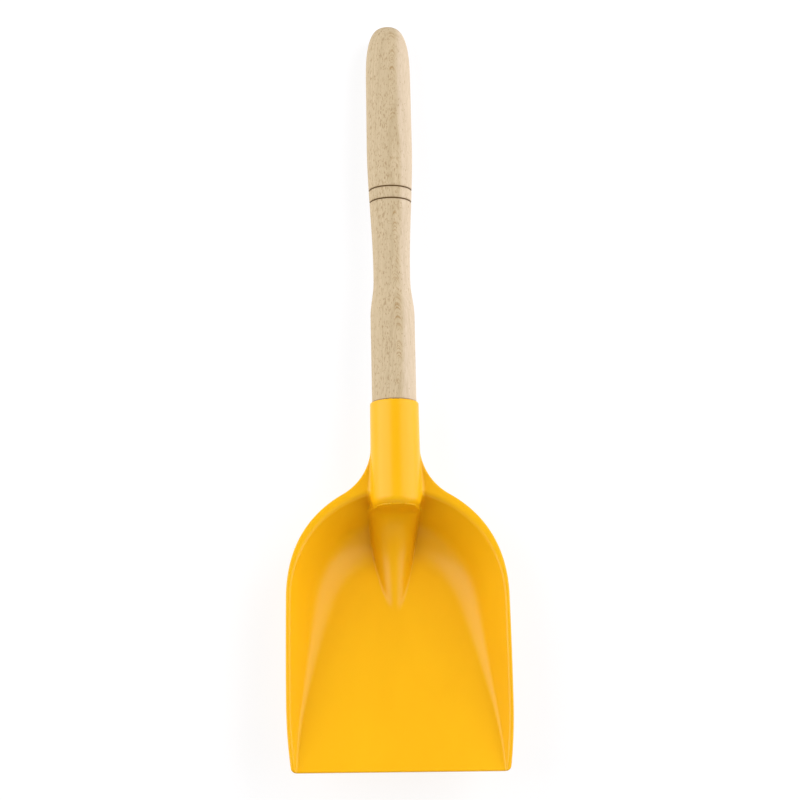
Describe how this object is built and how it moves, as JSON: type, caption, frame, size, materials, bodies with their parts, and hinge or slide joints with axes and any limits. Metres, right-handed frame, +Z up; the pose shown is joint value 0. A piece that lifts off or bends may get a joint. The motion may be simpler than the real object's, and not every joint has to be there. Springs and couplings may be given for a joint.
{
  "type": "short scoop shovel",
  "caption": "Short-handled scoop shovel: moulded plastic scoop with flared walls, a round socket and a tapered tongue, on a turned wooden handle.",
  "frame": {"origin": "on the ground under the middle of the shovel, as it rests on the scoop's heel and the grip", "axes": "+Y from the blade's front edge towards the grip, +Z up on the scoop's open side, +X across the blade; the shovel is symmetric about x = 0"},
  "size_m": [0.15, 0.5114, 0.0542],
  "materials": {
    "scoop_plastic": "yellow injection-moulded polypropylene, satin gloss",
    "handle_beech": "turned and sanded beech, unvarnished, with burned-in ring grooves",
    "screw_steel": "zinc plated"
  },
  "bodies": {
    "root": {"scoop": "scoop_plastic", "handle": "handle_beech", "retaining_screw": "screw_steel"}
  },
  "joints": []
}
